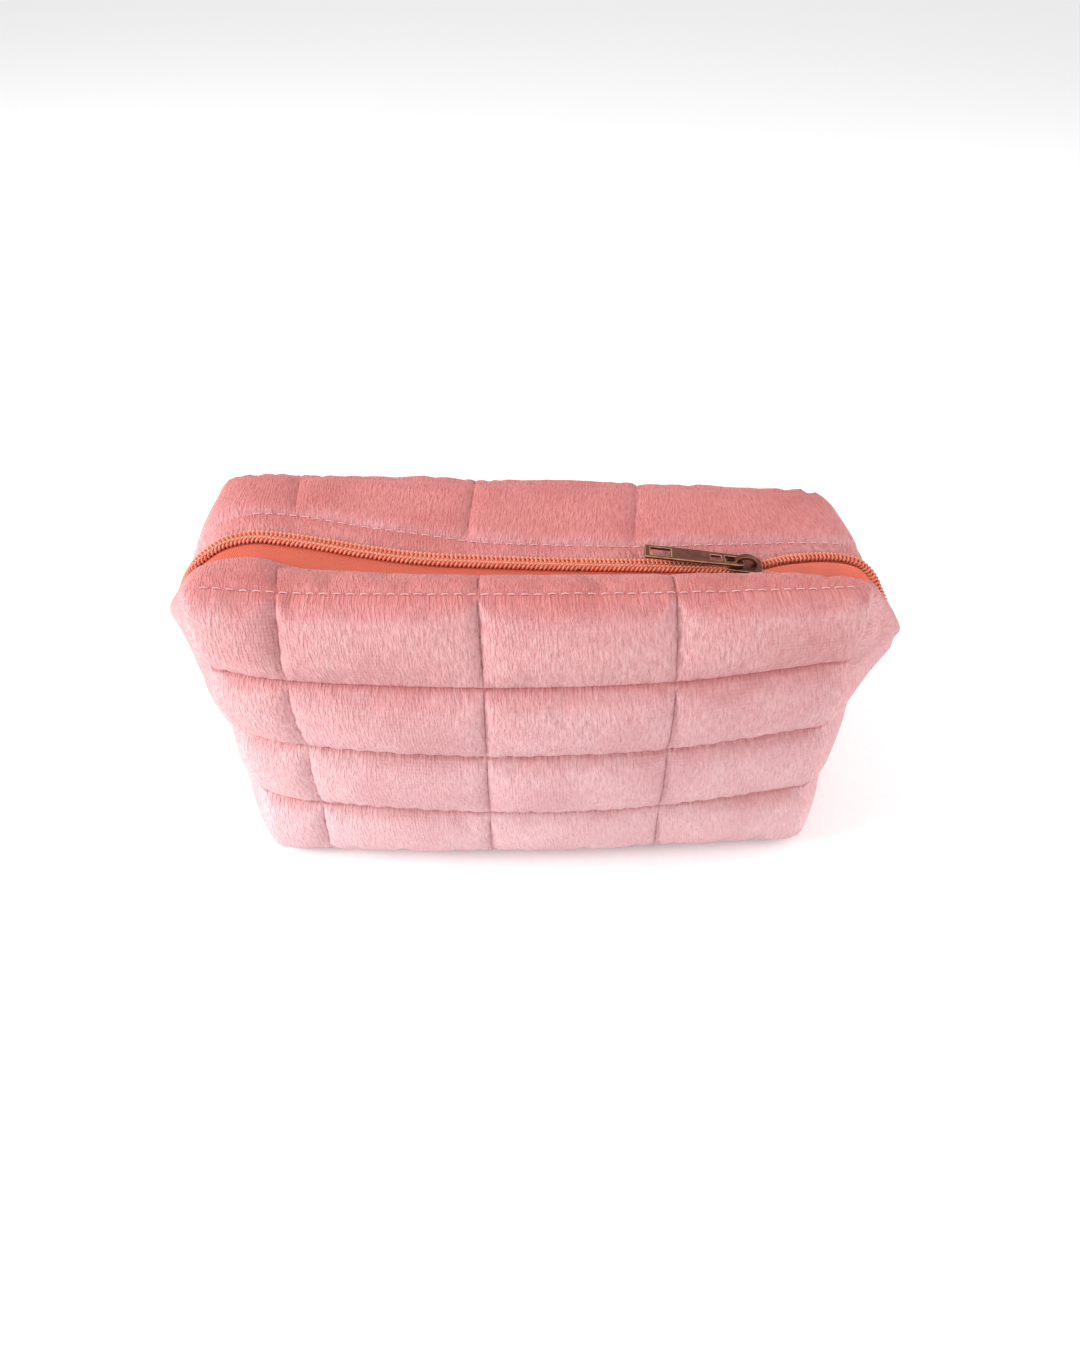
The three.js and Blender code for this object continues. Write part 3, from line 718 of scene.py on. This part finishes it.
class Look:
    """A node material under construction."""

    def __init__(self, name, color, roughness, **sockets):
        self.material = bpy.data.materials.new(name)
        self.material.use_nodes = True
        self.tree = self.material.node_tree
        self.shader = self.tree.nodes["Principled BSDF"]
        self.set(self.shader, {"Base Color": (*color, 1), "Roughness": roughness})
        self.set(self.shader, {key.replace("_", " "): value for key, value in sockets.items()})

    def set(self, node, values):
        """Gives a node's sockets their values; a value that is a socket is linked."""
        for key, value in values.items():
            socket = node.inputs[key]
            if isinstance(value, bpy.types.NodeSocket):
                self.tree.links.new(value, socket)
            else:
                socket.default_value = value

    def node(self, kind, values=None, **settings):
        """A new shader node with those socket values and settings."""
        made = self.tree.nodes.new(f"ShaderNode{kind}")
        for key, value in settings.items():
            setattr(made, key, value)
        self.set(made, values or {})
        return made

    def math(self, operation, a, b=0.0):
        return self.node("Math", {0: a, 1: b}, operation=operation).outputs[0]

    def plus(self, a, b):
        return self.math("ADD", a, b)

    def times(self, a, b):
        return self.math("MULTIPLY", a, b)

    def sine(self, value):
        return self.math("SINE", value)

    def flow(self, width, length):
        """The fabric's own coordinates, counted in steps of that width and length in mm."""
        uv = self.node("UVMap", uv_map="flow").outputs[0]
        return self.node("Mapping", {"Vector": uv, "Scale": (100 / width, 100 / length, 1)}).outputs[0]

    def noise(self, where, detail=2.0, roughness=0.5, scale=1.0):
        return self.node("TexNoise", {"Vector": where, "Scale": scale, "Detail": detail,
                                      "Roughness": roughness}).outputs["Fac"]

    def place(self, size):
        """Coordinates of the object itself, counted in steps of that size in mm."""
        own = self.node("TexCoord").outputs["Object"]
        return self.node("Mapping", {"Vector": own, "Scale": (1000 / size,) * 3}).outputs[0]

    def span(self, value, low, high, to_low=0.0, to_high=1.0):
        """The value stretched from one range to another, and held at its ends."""
        return self.node("MapRange", {"Value": value, "From Min": low, "From Max": high,
                                      "To Min": to_low, "To Max": to_high}).outputs[0]

    def mix(self, share, a, b):
        """Colour a where the share is 0, and b where it is 1."""
        made = self.node("Mix", data_type="RGBA")
        self.set(made, {0: share})
        for index, value in ((6, a), (7, b)):
            if isinstance(value, bpy.types.NodeSocket):
                self.tree.links.new(value, made.inputs[index])
            else:
                made.inputs[index].default_value = (*value, 1)
        return made.outputs[2]

    def bump(self, height, depth, below=None):
        """A bump of that depth in mm."""
        values = {"Height": height, "Strength": 1.0, "Distance": depth * MM}
        made = self.node("Bump", values)
        if below:
            self.tree.links.new(below, made.inputs["Normal"])
        return made.outputs[0]

    def finish(self, color=None, normal=None, roughness=None):
        """Links what was built to the shader, and gives the material."""
        for key, value in (("Base Color", color), ("Normal", normal), ("Roughness", roughness)):
            if value is not None:
                self.tree.links.new(value, self.shader.inputs[key])
        return self.material


def plush_look():
    """Short brushed pile over a knitted ground, in strokes that run down the cloth, with painted sheen,
    painted floor light and painted shade in its colour.
    """
    look = Look("plush", (0.65, 0.27, 0.26), 0.92, Sheen_Weight=0.16, Sheen_Roughness=0.5,
                Sheen_Tint=(1, 0.66, 0.66, 1), Specular_IOR_Level=0.12)
    strokes = look.noise(look.flow(0.8, 3.6), 2.0, 0.6)
    tufts = look.noise(look.flow(0.36, 1.3), 1.0)
    brushed = look.noise(look.place(26), 3.0)
    shade = look.noise(look.place(11), 3.0, 0.6)
    loops = look.node("SeparateXYZ", {0: look.flow(1 / (2 * math.pi), 1.1 / (2 * math.pi))})
    knit = look.plus(look.sine(loops.outputs[1]), look.sine(loops.outputs[0]))
    flat = look.span(brushed, 0.42, 0.66)
    knit_here = look.times(look.times(knit, 0.05), flat)
    pile = look.plus(look.times(strokes, look.span(flat, 0, 1, 1.25, 0.8)), look.times(tufts, 0.55))
    height = look.plus(pile, knit_here)
    deep = look.span(height, 0.56, 1.12)
    # Painted light: faces that look sideways get a paler colour as painted sheen, and faces that look up a
    # darker, redder one as painted shade.
    side_painted_sheen = look.mix(deep, (0.52, 0.225, 0.23), (0.7, 0.395, 0.405))
    top_painted_shade = look.mix(deep, (0.46, 0.13, 0.122), (0.61, 0.218, 0.208))
    low_painted_floor_light = look.mix(deep, (0.64, 0.37, 0.39), (0.78, 0.53, 0.56))
    up = look.node("SeparateXYZ", {0: look.node("NewGeometry").outputs["Normal"]}).outputs[2]
    height_up = look.node("SeparateXYZ", {0: look.place(1)}).outputs[2]
    # Painted light from the floor: the colour grows paler from 100 mm high down to 10 mm.
    color = look.mix(look.span(height_up, 100, 10), side_painted_sheen, low_painted_floor_light)
    # Painted shade on the faces that look up.
    color = look.mix(look.span(up, 0.45, 1.0), color, top_painted_shade)
    color = look.mix(look.span(shade, 0.35, 0.7, 0.0, 0.15), color, (0.66, 0.245, 0.24))
    # Painted shade along the quilting creases: darker and redder near each line, ragged with the pile
    # strokes.
    crease = look.node("Attribute", attribute_name="crease").outputs["Fac"]
    crease_shade_distance = look.plus(crease, look.times(look.math("SUBTRACT", strokes, 0.5), 1.2))
    color = look.mix(look.span(crease_shade_distance, 0.0, 0.8, 0.7, 0.0), color, (0.4, 0.075, 0.08))
    return look.finish(color, look.bump(height, 0.8))


def twill_look(name, light, dark, glow=0.0):
    """Twill tape; a little glow stands for light that comes through thin cloth from behind."""
    look = Look(name, light, 0.7, Sheen_Weight=0.1, Sheen_Roughness=0.4, Emission_Color=(*light, 1),
                Emission_Strength=glow)
    separate = look.node("SeparateXYZ", {0: look.flow(1, 1)})
    slant = look.plus(separate.outputs[0], look.times(separate.outputs[1], 0.8))
    ribs = look.sine(look.times(slant, 2 * math.pi / 0.9))
    yarn = look.noise(look.flow(0.45, 0.45), 1.0)
    height = look.plus(look.times(ribs, 0.35), yarn)
    color = look.mix(look.span(height, 0.1, 0.95), dark, light)
    return look.finish(color, look.bump(height, 0.16))


def weave_look(name, light, dark):
    """Plain woven cloth with a few stains."""
    look = Look(name, light, 0.75, Sheen_Weight=0.15)
    separate = look.node("SeparateXYZ", {0: look.place(1)})
    threads = [look.sine(look.times(axis, 2 * math.pi / 0.8)) for axis in separate.outputs]
    height = look.plus(look.plus(threads[0], threads[1]), threads[2])
    stain = look.noise(look.place(18), 3.0)
    color = look.mix(look.span(height, -2, 2), dark, light)
    color = look.mix(look.span(stain, 0.3, 0.8, 0.0, 0.4), color, dark)
    return look.finish(color, look.bump(height, 0.08))


def nylon_look():
    """Slightly worn, translucent nylon."""
    look = Look("zip_coil", (0.9, 0.3, 0.17), 0.42, Specular_IOR_Level=0.4, Subsurface_Weight=0.25,
                Subsurface_Scale=0.0015)
    worn = look.noise(look.place(2.2), 2.0)
    color = look.mix(look.span(worn, 0.3, 0.7), (0.66, 0.15, 0.09), (0.78, 0.235, 0.15))
    return look.finish(color, look.bump(look.noise(look.place(0.5), 1.0), 0.05))


def thread_look(name, light, dark):
    """Twisted thread."""
    look = Look(name, light, 0.6, Sheen_Weight=0.3)
    separate = look.node("SeparateXYZ", {0: look.place(0.35 / (2 * math.pi))})
    ply = look.sine(look.plus(separate.outputs[0], look.times(separate.outputs[1], 1.6)))
    return look.finish(look.mix(look.span(ply, -1, 1), dark, light), look.bump(ply, 0.05))


def bronze_look(name, dull, bright, metallic):
    """Dull bronze with a patina and fine scratches along the zip."""
    look = Look(name, dull, 0.4, Metallic=metallic)
    patina = look.noise(look.place(2.6), 4.0, 0.6)
    brushed = look.node("Mapping", {"Vector": look.place(1), "Scale": (0.35, 3.5, 3.5)}).outputs[0]
    scratch = look.noise(brushed, 2.0)
    color = look.mix(look.span(patina, 0.35, 0.68), dull, bright)
    rough = look.span(look.plus(patina, look.times(scratch, 0.5)), 0.5, 1.1, 0.3, 0.55)
    return look.finish(color, look.bump(scratch, 0.03), rough)


PLUSH = plush_look()
LINING = weave_look("lining", (0.88, 0.36, 0.27), (0.7, 0.22, 0.15))
BINDING = twill_look("binding", (0.86, 0.34, 0.26), (0.66, 0.2, 0.13))
TAPE = twill_look("zip_tape", (0.68, 0.13, 0.07), (0.46, 0.07, 0.035))
FACING = twill_look("facing", (0.85, 0.22, 0.15), (0.66, 0.12, 0.08), glow=0.5)
NYLON = nylon_look()
THREAD = thread_look("thread", (0.88, 0.6, 0.6), (0.76, 0.42, 0.42))
ZIP_THREAD = thread_look("zip_thread", (0.96, 0.44, 0.3), (0.88, 0.3, 0.18))
BRONZE = bronze_look("bronze", (0.12, 0.035, 0.022), (0.22, 0.072, 0.048), 0.8)
# Lighter bronze for the bevelled edges of the slider, its crown and its pull.
EDGE_BRONZE = bronze_look("edge_bronze", (0.42, 0.26, 0.14), (0.72, 0.5, 0.3), 0.9)


# --- the camera, floor and lights ---------------------------------------------------------------

def add_camera():
    """A wide lens close above the front, looking down at the bag."""
    pitch, yaw, roll = (math.radians(angle) for angle in CAMERA_TURN)
    ahead = Vector((math.sin(yaw) * math.cos(pitch), math.cos(yaw) * math.cos(pitch), -math.sin(pitch)))
    right = Vector((math.cos(yaw), -math.sin(yaw), 0))
    up = right.cross(ahead)
    x_axis = math.cos(roll) * right + math.sin(roll) * up
    y_axis = -math.sin(roll) * right + math.cos(roll) * up
    data = bpy.data.cameras.new("camera")
    data.lens, data.sensor_width = LENS, 36
    data.clip_start, data.clip_end = 0.01, 20
    camera = put("camera", data)
    turn = Matrix((x_axis, y_axis, -ahead)).transposed().to_4x4()
    camera.matrix_world = Matrix.Translation(Vector(CAMERA_PLACE) * MM) @ turn
    bpy.context.scene.camera = camera


def add_stage():
    """A pale matt floor under an even white sky."""
    floor_look = Look("floor", (0.93, 0.93, 0.93), 0.9)
    grain = floor_look.noise(floor_look.place(3), 2.0)
    color = floor_look.mix(floor_look.span(grain, 0.3, 0.7), (0.92, 0.92, 0.92), (0.95, 0.95, 0.95))
    mesh = bpy.data.meshes.new("floor")
    size = 3.0
    corners = [(-size, -size, 0), (size, -size, 0), (size, size, 0), (-size, size, 0)]
    mesh.from_pydata(corners, [], [(0, 1, 2, 3)])
    mesh.materials.append(floor_look.finish(color))
    put("floor", mesh)
    world = bpy.data.worlds.new("studio")
    world.use_nodes = True
    background = world.node_tree.nodes["Background"]
    background.inputs[0].default_value = (1, 1, 1, 1)
    background.inputs[1].default_value = 0.86
    bpy.context.scene.world = world
    bpy.context.scene.view_settings.view_transform = "Standard"


def add_light(name, place, power, size):
    """A square soft light that points at the bag."""
    data = bpy.data.lights.new(name, "AREA")
    data.energy, data.size = power, size
    light = put(name, data)
    light.location = place
    light.rotation_euler = (Vector((0, 0, 0.06)) - Vector(place)).to_track_quat("-Z", "Y").to_euler()


def add_lights():
    """Soft light from the left, with weaker fill from the other sides."""
    add_light("key", (-0.3, -1.1, 0.6), 2, 0.7)
    add_light("left", (-1.15, -0.15, 0.5), 18, 0.6)
    add_light("right", (1.1, 0, 0.4), 6, 0.8)
    add_light("top", (0.05, 0.3, 1.3), 1, 0.9)


# --- pieces: the outer fabric -------------------------------------------------------------------

def add_shell(net):
    """The plush walls, underside and lower ends, which stay with the bag."""
    points, faces, flow, crease = cut_out(net, net.names == "walls")
    shell = make("outer_shell", points, faces, PLUSH, "bag", flow, crease)
    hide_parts("front_panel", "back_panel", "bottom_panel", "front_wadding", "back_wadding",
                "bottom_wadding")
    for side in HALVES:
        points, faces, flow, crease = cut_out(net, net.names == f"{side}_end")
        end = make(f"{side}_end", points, faces, PLUSH, "bag", flow, crease)
        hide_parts(f"{side}_end_panel", f"{side}_end_wadding")


def grid_piece(name, grid, material, crease=None, away_from=(0, 0, 40)):
    """A piece from rows of points whose faces look away from the given point."""
    rows, columns = grid.shape[:2]
    faces = grid_quads(np.arange(rows * columns).reshape(rows, columns))
    points = grid.reshape(-1, 3)
    across = grid_lengths(grid, 1)
    run = lengths(grid[:, columns // 2])[:, None] + 0 * across
    flow = np.stack([run, across], -1).reshape(-1, 2)
    a, b, c, d = (points[faces[:, k]] for k in range(4))
    facing = (np.cross(c - a, d - b) * ((a + c) / 2 - away_from)).sum()
    if facing < 0:
        faces = faces[:, ::-1]
    values = None if crease is None else np.asarray(crease).ravel()
    return make(name, points, faces, material, None, flow[faces].reshape(-1, 2), values)


def thick(grid, depth):
    """A thin sheet's rows of points as a closed band round its section."""
    under = grid[:, ::-1] - (0, 0, depth)
    return np.concatenate([grid, under, grid[:, :1]], axis=1)


def sharpen(strip, columns):
    """Keeps the seam allowance under a strip's outer edge out of the strip's shading."""
    for edge in strip.data.edges:
        if all(corner % columns == 1 for corner in edge.vertices):
            edge.use_edge_sharp = True


def fold_rings(edge, outward, radius, steps=8):
    """Rows of points that roll a strip's edge over towards the zip and under."""
    run = unit(np.gradient(edge, axis=0))
    across = np.cross(run, (0, 0, 1.0))
    across = unit(across * np.where(across[:, 1] * outward > 0, -1, 1)[:, None])
    up = np.cross(run, across)
    up *= np.where(up[:, 2] < 0, -1, 1)[:, None]
    radius = radius[:, None]
    angles = [math.pi * k / steps for k in range(1, steps + 1)]
    rings = [edge + across * radius * math.sin(a) - up * radius * (1 - math.cos(a)) for a in angles]
    return np.stack(rings, 1)


def stations(x, half):
    """Which stations along the bag belong to a half; both halves have the one where they meet."""
    meet = int(np.argmin(np.abs(x - HALF_MEETS)))
    return slice(None, meet + 1) if half == "left" else slice(meet, None)


def add_lip(net, name):
    """A top strip in two halves: plush rolled over at the fold, and its lining below."""
    index = net.strip(name)
    top = net.co[index]
    up = net.normals()[index]
    radius = roll_radius(top[:, -1])
    rings = fold_rings(top[:, -1], -1 if name == "front" else 1, radius)
    allowance = top[:, :1] - up[:, :1] * SEAM_ALLOWANCE
    crease = np.concatenate([net.fold[index][:, :1], net.fold[index], np.full(rings.shape[:2], 9.0)], axis=1)
    whole = np.concatenate([allowance, top, rings], axis=1)
    below = top - up * (2 * radius - 0.3)[:, None, None]
    below = below[:, 1:]
    inside = (np.abs(top[:, 0, 0]) < 100) & (top[:, 0, 2] > 106)
    for half in HALVES:
        part = stations(top[:, 0, 0], half)
        strip = grid_piece(f"{name}_strip_{half}", whole[part], PLUSH, crease[part])
        sharpen(strip, whole.shape[1])
        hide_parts(f"{name}_top_strip", f"{name}_top_wadding", f"{half}_upper_{name}_panel")
        bend_half(strip)
        lining = grid_piece(f"{name}_strip_lining_{half}", below[part][inside[part]], LINING,
                            away_from=(0, 0, 400))
        sheet_size(lining)
        bend_half(lining)
    return top


def sheet_size(piece):
    """The cut size of a piece of cloth in metres, from its own lengths."""
    uv = np.zeros(len(piece.data.loops) * 2, np.float32)
    piece.data.uv_layers["flow"].data.foreach_get("uv", uv)
    size = uv.reshape(-1, 2).max(0) - uv.reshape(-1, 2).min(0)
    return tuple(float(v) * 0.1 for v in size)


# --- pieces: the zip ----------------------------------------------------------------------------

def row_line(name):
    """The middle of a row of zip coil: beside the chain's line where shut, then its own line."""
    offset = ROW_APART / 2 * (-1 if name == "front" else 1)
    open_part = FRONT_ROW if name == "front" else BACK_ROW
    closed = even(CHAIN, 0.5)
    closed = closed[closed[:, 0] < PARTING_X - 2] + (0, offset, 0)
    return even(np.concatenate([closed[::12], open_part]), 0.5)


def split(line, half):
    """The points of a line in one half."""
    return line[stations(line[:, 0], half)]


def frame_of(line):
    """The directions across and up at each point of a line that runs along the bag."""
    way = unit(np.gradient(line, axis=0))
    across = unit(np.cross((0, 0, 1.0), way))
    return across, np.cross(way, across)


def coil_path(line, outward, shift):
    """The nylon wire of a row: one flat loop for each tooth."""
    step = COIL_PITCH / 10
    wanted = np.arange(0, lengths(line)[-1], step)
    centre = points_at(line, wanted)
    across, up = frame_of(centre)
    angle = 2 * math.pi * wanted / COIL_PITCH + shift
    lean = COIL_LEAN * COIL_PITCH * np.sin(angle)[:, None] * np.gradient(centre, axis=0) / step
    return (centre + across * outward * (np.cos(angle) * COIL_HALF_WIDTH)[:, None]
            + up * (np.sin(angle) * COIL_HALF_HEIGHT)[:, None] + lean)


def bead_path(line, aside):
    """Sewing thread that dips between the teeth, along a row."""
    wanted = np.arange(0, lengths(line)[-1], COIL_PITCH / 8)
    centre = points_at(line, wanted)
    across, up = frame_of(centre)
    lift = COIL_HALF_HEIGHT + 0.16 + 0.3 * np.cos(2 * math.pi * wanted / COIL_PITCH)
    return centre + across * aside + up * lift[:, None]


def add_coils():
    """The two rows of coil, each with a cord inside it and the thread that sews it down."""
    for name, outward in LIPS:
        line = row_line(name)
        for half in HALVES:
            part = split(line, half)
            wire = tube(coil_path(part, outward, 0 if name == "front" else math.pi), COIL_WIRE, 6)
            core = tube(part[::4], CORE_SIZE, 10)
            points, faces = gather([wire, core])
            coil = make(f"{name}_coil_{half}", points, faces, NYLON)
            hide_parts(f"{name}_zip_coil")
            bend_half(coil)
            sewing = tube(bead_path(part, outward * SEWING_ASIDE), SEWING_RADIUS, 6)
            thread = make(f"{name}_coil_thread_{half}", *sewing, ZIP_THREAD)
            bend_half(thread)


def tape_grid(row, edge, outward):
    """Rows of points from under a coil row to under its fold: level at first, then rising."""
    fold = at_x(edge[np.argsort(edge[:, 0])], row[:, 0])
    inner = row + (0, -0.9 * outward, -1.0)
    from_ear = np.clip((126 - np.abs(row[:, 0])) / 16, 0, 1)[:, None]
    outer = fold + np.array([(0, 1.0 * outward, -2.0)]) * from_ear + (0, 0, -0.4)
    t = np.linspace(0, 1, 11)[None, :, None]
    grid = inner[:, None] * (1 - t) + outer[:, None] * t
    beside = np.abs(grid[..., 1] - inner[:, None, 1])
    wide = np.abs(outer[:, 1] - inner[:, 1])[:, None]
    late = np.clip((beside - LEVEL_TAPE) / np.maximum(wide - LEVEL_TAPE, 0.5), 0, 1)
    grid[..., 2] = inner[:, None, 2] + (outer - inner)[:, None, 2] * late
    return grid


def add_tapes(edges):
    """The woven tapes between the coil rows and the folds that they are sewn into."""
    ends = {"left": ["left_zip_end"], "right": ["right_zip_end_front", "right_zip_end_back"]}
    for name, outward in LIPS:
        row = row_line(name)[::3]
        grid = tape_grid(row, edges[name], outward)
        for half in HALVES:
            part = thick(grid[stations(row[:, 0], half)], TAPE_DEPTH)
            tape = grid_piece(f"{name}_tape_{half}", part, TAPE, away_from=(0, 0, -200))
            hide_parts(f"{name}_zip_tape", *ends[half])
            bend_half(tape)


def add_facing():
    """The inner facing that hangs from the rear row where the zip is open, sewn along its top."""
    line = even(BACK_ROW, 1.5)
    line = line[line[:, 0] < FACING_END]
    share = np.linspace(0, 1, len(line))[:, None]
    drop = np.linspace(0, 1, 10)[None, :]
    depth = 1.2 + FACING_DEPTH * drop * np.sin(math.pi * (share * 0.84 + 0.1)) ** 0.5
    pleat = PLEAT * np.sin(line[:, :1] / 1.7) * drop
    grid = np.stack([line[:, :1] + 0 * drop, line[:, 1:2] - FACING_SETBACK + 1.2 * drop + pleat,
                     line[:, 2:] - depth], -1)
    facing = grid_piece("back_facing", grid, FACING, away_from=(60, 60, 90))
    sheet_size(facing)
    bend_half(facing)


def dash(start, end, lift):
    """One stitch that rises out of the cloth and goes back in."""
    t = np.linspace(0, 1, 9)[:, None]
    path = start + (end - start) * t
    path[:, 2:] += lift * np.sin(math.pi * t) ** 0.6 - 0.12
    return tube(path, STITCH_RADIUS, 6)


def stitches(line, lift=0.28):
    """A row of stitches along a line of points, each rising by the lift."""
    places = np.arange(2, lengths(line)[-1] - STITCH_LENGTH - 1, STITCH_PITCH)
    ends = zip(points_at(line, places), points_at(line, places + STITCH_LENGTH))
    return gather([dash(start, end, lift) for start, end in ends])


def add_topstitches(net):
    """The stitching along the front wall's top and beside the rear fold."""
    index = net.strip("front")
    line = net.co[index[:, 0]]
    keep = (line[:, 2] > 108) & (np.abs(line[:, 0]) < 99)
    thread = make("front_topstitch_thread", *stitches(line[keep] + (0, 0.2, 0.35)), THREAD, "bag")
    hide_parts("front_topstitch")
    back = net.strip("back")
    line = net.co[back[:, BACK_STEPS - BAND_STEPS]]
    keep = (line[:, 0] > -93) & (line[:, 0] < 104) & (line[:, 2] > 103)
    line = line[keep] + (0, 0, 0.25)
    for half in HALVES:
        part = split(line, half)
        thread = make(f"back_topstitch_{half}", *stitches(part), THREAD)
        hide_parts("back_topstitch")
        bend_half(thread)


def dress_slider():
    """The slider, its crown and its pull keep their CAD shapes, with lighter bronze on their bevelled edges.
    """
    for name in ("slider_body", "slider_crown", "pull_tab"):
        piece = bpy.data.objects[name]
        piece.modifiers.new("joined", "WELD").merge_threshold = 0.01 * MM
        bevel = piece.modifiers.new("edge_bevel", "BEVEL")
        bevel.width, bevel.segments, bevel.limit_method = 0.2 * MM, 2, "ANGLE"
        bevel.material = 1
        piece.data.materials.clear()
        piece.data.materials.append(BRONZE)
        piece.data.materials.append(EDGE_BRONZE)


# --- pieces: inside -----------------------------------------------------------------------------

def add_lining(net):
    """The lining of the walls, floor and ends, as one sagging inner skin."""
    keep = (net.names == "walls") | (net.names == "left_end") | (net.names == "right_end")
    upper = (net.names == "front_strip") | (net.names == "back_strip")
    middle = net.co[net.faces].mean(1)
    keep |= upper & (np.abs(middle[:, 0]) > 100.5)
    faces = net.faces[keep]
    used, index = np.unique(faces, return_inverse=True)
    points = net.co[used] - net.normals()[used] * LINING_DEPTH
    points += net.normals()[used] * (0.8 * lumps(net.co[used], 18, 6))[:, None]
    lining = make("inner_lining", points, index.reshape(faces.shape)[:, ::-1], LINING, "bag",
                  net.corner_flow[keep][:, ::-1].reshape(-1, 2))
    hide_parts("front_lining", "back_lining", "bottom_lining", "left_end_lining",
                "right_end_lining",
                *[f"{s}_upper_{n}_lining" for s in ("left", "right") for n in ("front", "back")])
    return lining


def add_bindings(net):
    """The folded tape that binds each end seam on the inside."""
    for side, label in (("left", "left_end"), ("right", "right_end")):
        index = [i for name, i in net.patches if name == label][0]
        line = net.co[index[-1]]
        inward = (1, 0, 0) if side == "left" else (-1, 0, 0)
        path = even(line[3:-3:3] + np.array(inward) * 11, 2)
        points, faces = tube(path, (3.4, 0.9), 12)
        binding = make(f"{side}_binding", points, faces, BINDING, "bag")
        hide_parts(f"{side}_end_binding")


def build():
    """The camera, stage and lights, then every visible piece."""
    add_camera()
    add_stage()
    add_lights()
    net = puffed(outer_fabric())
    add_shell(net)
    edges = {name: add_lip(net, name)[:, -1] for name in ("front", "back")}
    add_tapes(edges)
    add_coils()
    add_facing()
    add_topstitches(net)
    dress_slider()
    add_lining(net)
    add_bindings(net)


build()
